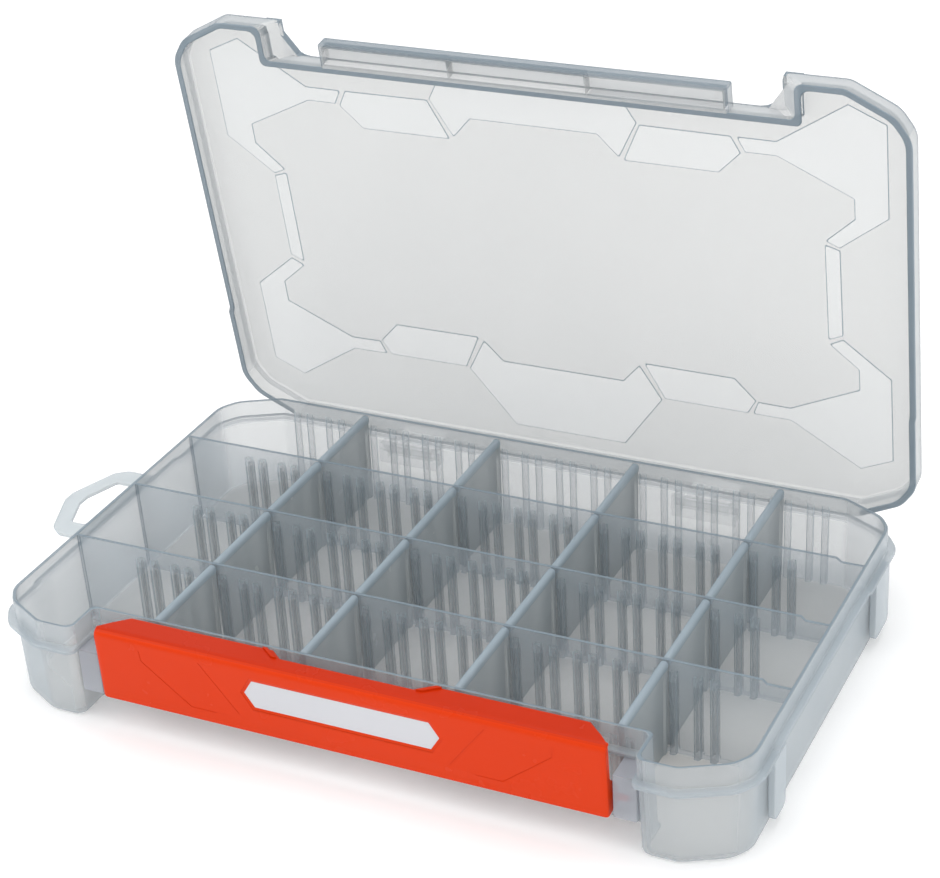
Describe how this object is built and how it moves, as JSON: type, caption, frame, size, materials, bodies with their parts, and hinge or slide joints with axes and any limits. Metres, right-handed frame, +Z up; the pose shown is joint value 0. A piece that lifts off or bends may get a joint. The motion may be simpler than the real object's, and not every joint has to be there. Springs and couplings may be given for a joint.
{
  "type": "fishing tackle box",
  "caption": "Flat translucent tackle tray with slotted rows, lift-out dividers, a hinged lid with a catch bar, a swinging front latch and a side hang loop.",
  "frame": {"origin": "centre of the tray's flat underside, on the surface it stands on", "axes": "+Z up, +X along the box to the right, +Y to the hinged back; the latch faces -Y"},
  "size_m": [0.3823, 0.2492, 0.2536],
  "materials": {
    "tray": "translucent grey-blue, satin",
    "divider": "translucent grey, satin",
    "lid": "translucent pale grey, glossy",
    "loop": "translucent pale grey, satin",
    "latch": "opaque orange-red, satin",
    "label": "matt white write-on label"
  },
  "bodies": {
    "tray": {"tray": "tray", "partition_front": "tray", "partition_middle": "tray", "partition_rear": "tray", "latch_bracket_left": "tray", "latch_bracket_right": "tray", "hinge_bracket_left": "tray", "hinge_bracket_right": "tray", "hinge_pin_left": "tray", "hinge_pin_right": "tray", "side_pad_front_left": "tray", "side_pad_front_right": "tray", "side_pad_rear_left": "tray", "side_pad_rear_right": "tray", "hang_loop": "loop"},
    "lid": {"lid": "lid", "catch_bar": "lid", "lid_lug_left": "lid", "lid_lug_right": "lid"},
    "latch": {"latch": "latch", "label_insert": "label"},
    "divider_row1_col1": {"divider_row1_col1": "divider"},
    "divider_row1_col2": {"divider_row1_col2": "divider"},
    "divider_row1_col3": {"divider_row1_col3": "divider"},
    "divider_row1_col4": {"divider_row1_col4": "divider"},
    "divider_row2_col1": {"divider_row2_col1": "divider"},
    "divider_row2_col2": {"divider_row2_col2": "divider"},
    "divider_row2_col3": {"divider_row2_col3": "divider"},
    "divider_row2_col4": {"divider_row2_col4": "divider"},
    "divider_row3_col1": {"divider_row3_col1": "divider"},
    "divider_row3_col2": {"divider_row3_col2": "divider"},
    "divider_row3_col3": {"divider_row3_col3": "divider"},
    "divider_row3_col4": {"divider_row3_col4": "divider"},
    "divider_row4_col1": {"divider_row4_col1": "divider"},
    "divider_row4_col2": {"divider_row4_col2": "divider"},
    "divider_row4_col3": {"divider_row4_col3": "divider"},
    "divider_row4_col4": {"divider_row4_col4": "divider"}
  },
  "joints": [
    {"name": "lid_hinge", "type": "hinge", "parent": "tray", "child": "lid", "pos_m": [0, 0.1132, 0.027], "axis": [-1, 0, 0], "range_deg": [-80.4, 30]},
    {"name": "latch_hinge", "type": "hinge", "parent": "tray", "child": "latch", "pos_m": [0, -0.1005, 0.02], "axis": [1, 0, 0], "range_deg": [0, 90]},
    {"name": "divider_row1_col1_lift", "type": "slide", "parent": "tray", "child": "divider_row1_col1", "axis": [0, 0, 1], "range_m": [0, 0.048]},
    {"name": "divider_row1_col2_lift", "type": "slide", "parent": "tray", "child": "divider_row1_col2", "axis": [0, 0, 1], "range_m": [0, 0.048]},
    {"name": "divider_row1_col3_lift", "type": "slide", "parent": "tray", "child": "divider_row1_col3", "axis": [0, 0, 1], "range_m": [0, 0.048]},
    {"name": "divider_row1_col4_lift", "type": "slide", "parent": "tray", "child": "divider_row1_col4", "axis": [0, 0, 1], "range_m": [0, 0.048]},
    {"name": "divider_row2_col1_lift", "type": "slide", "parent": "tray", "child": "divider_row2_col1", "axis": [0, 0, 1], "range_m": [0, 0.048]},
    {"name": "divider_row2_col2_lift", "type": "slide", "parent": "tray", "child": "divider_row2_col2", "axis": [0, 0, 1], "range_m": [0, 0.048]},
    {"name": "divider_row2_col3_lift", "type": "slide", "parent": "tray", "child": "divider_row2_col3", "axis": [0, 0, 1], "range_m": [0, 0.048]},
    {"name": "divider_row2_col4_lift", "type": "slide", "parent": "tray", "child": "divider_row2_col4", "axis": [0, 0, 1], "range_m": [0, 0.048]},
    {"name": "divider_row3_col1_lift", "type": "slide", "parent": "tray", "child": "divider_row3_col1", "axis": [0, 0, 1], "range_m": [0, 0.048]},
    {"name": "divider_row3_col2_lift", "type": "slide", "parent": "tray", "child": "divider_row3_col2", "axis": [0, 0, 1], "range_m": [0, 0.048]},
    {"name": "divider_row3_col3_lift", "type": "slide", "parent": "tray", "child": "divider_row3_col3", "axis": [0, 0, 1], "range_m": [0, 0.048]},
    {"name": "divider_row3_col4_lift", "type": "slide", "parent": "tray", "child": "divider_row3_col4", "axis": [0, 0, 1], "range_m": [0, 0.048]},
    {"name": "divider_row4_col1_lift", "type": "slide", "parent": "tray", "child": "divider_row4_col1", "axis": [0, 0, 1], "range_m": [0, 0.048]},
    {"name": "divider_row4_col2_lift", "type": "slide", "parent": "tray", "child": "divider_row4_col2", "axis": [0, 0, 1], "range_m": [0, 0.048]},
    {"name": "divider_row4_col3_lift", "type": "slide", "parent": "tray", "child": "divider_row4_col3", "axis": [0, 0, 1], "range_m": [0, 0.048]},
    {"name": "divider_row4_col4_lift", "type": "slide", "parent": "tray", "child": "divider_row4_col4", "axis": [0, 0, 1], "range_m": [0, 0.048]}
  ]
}
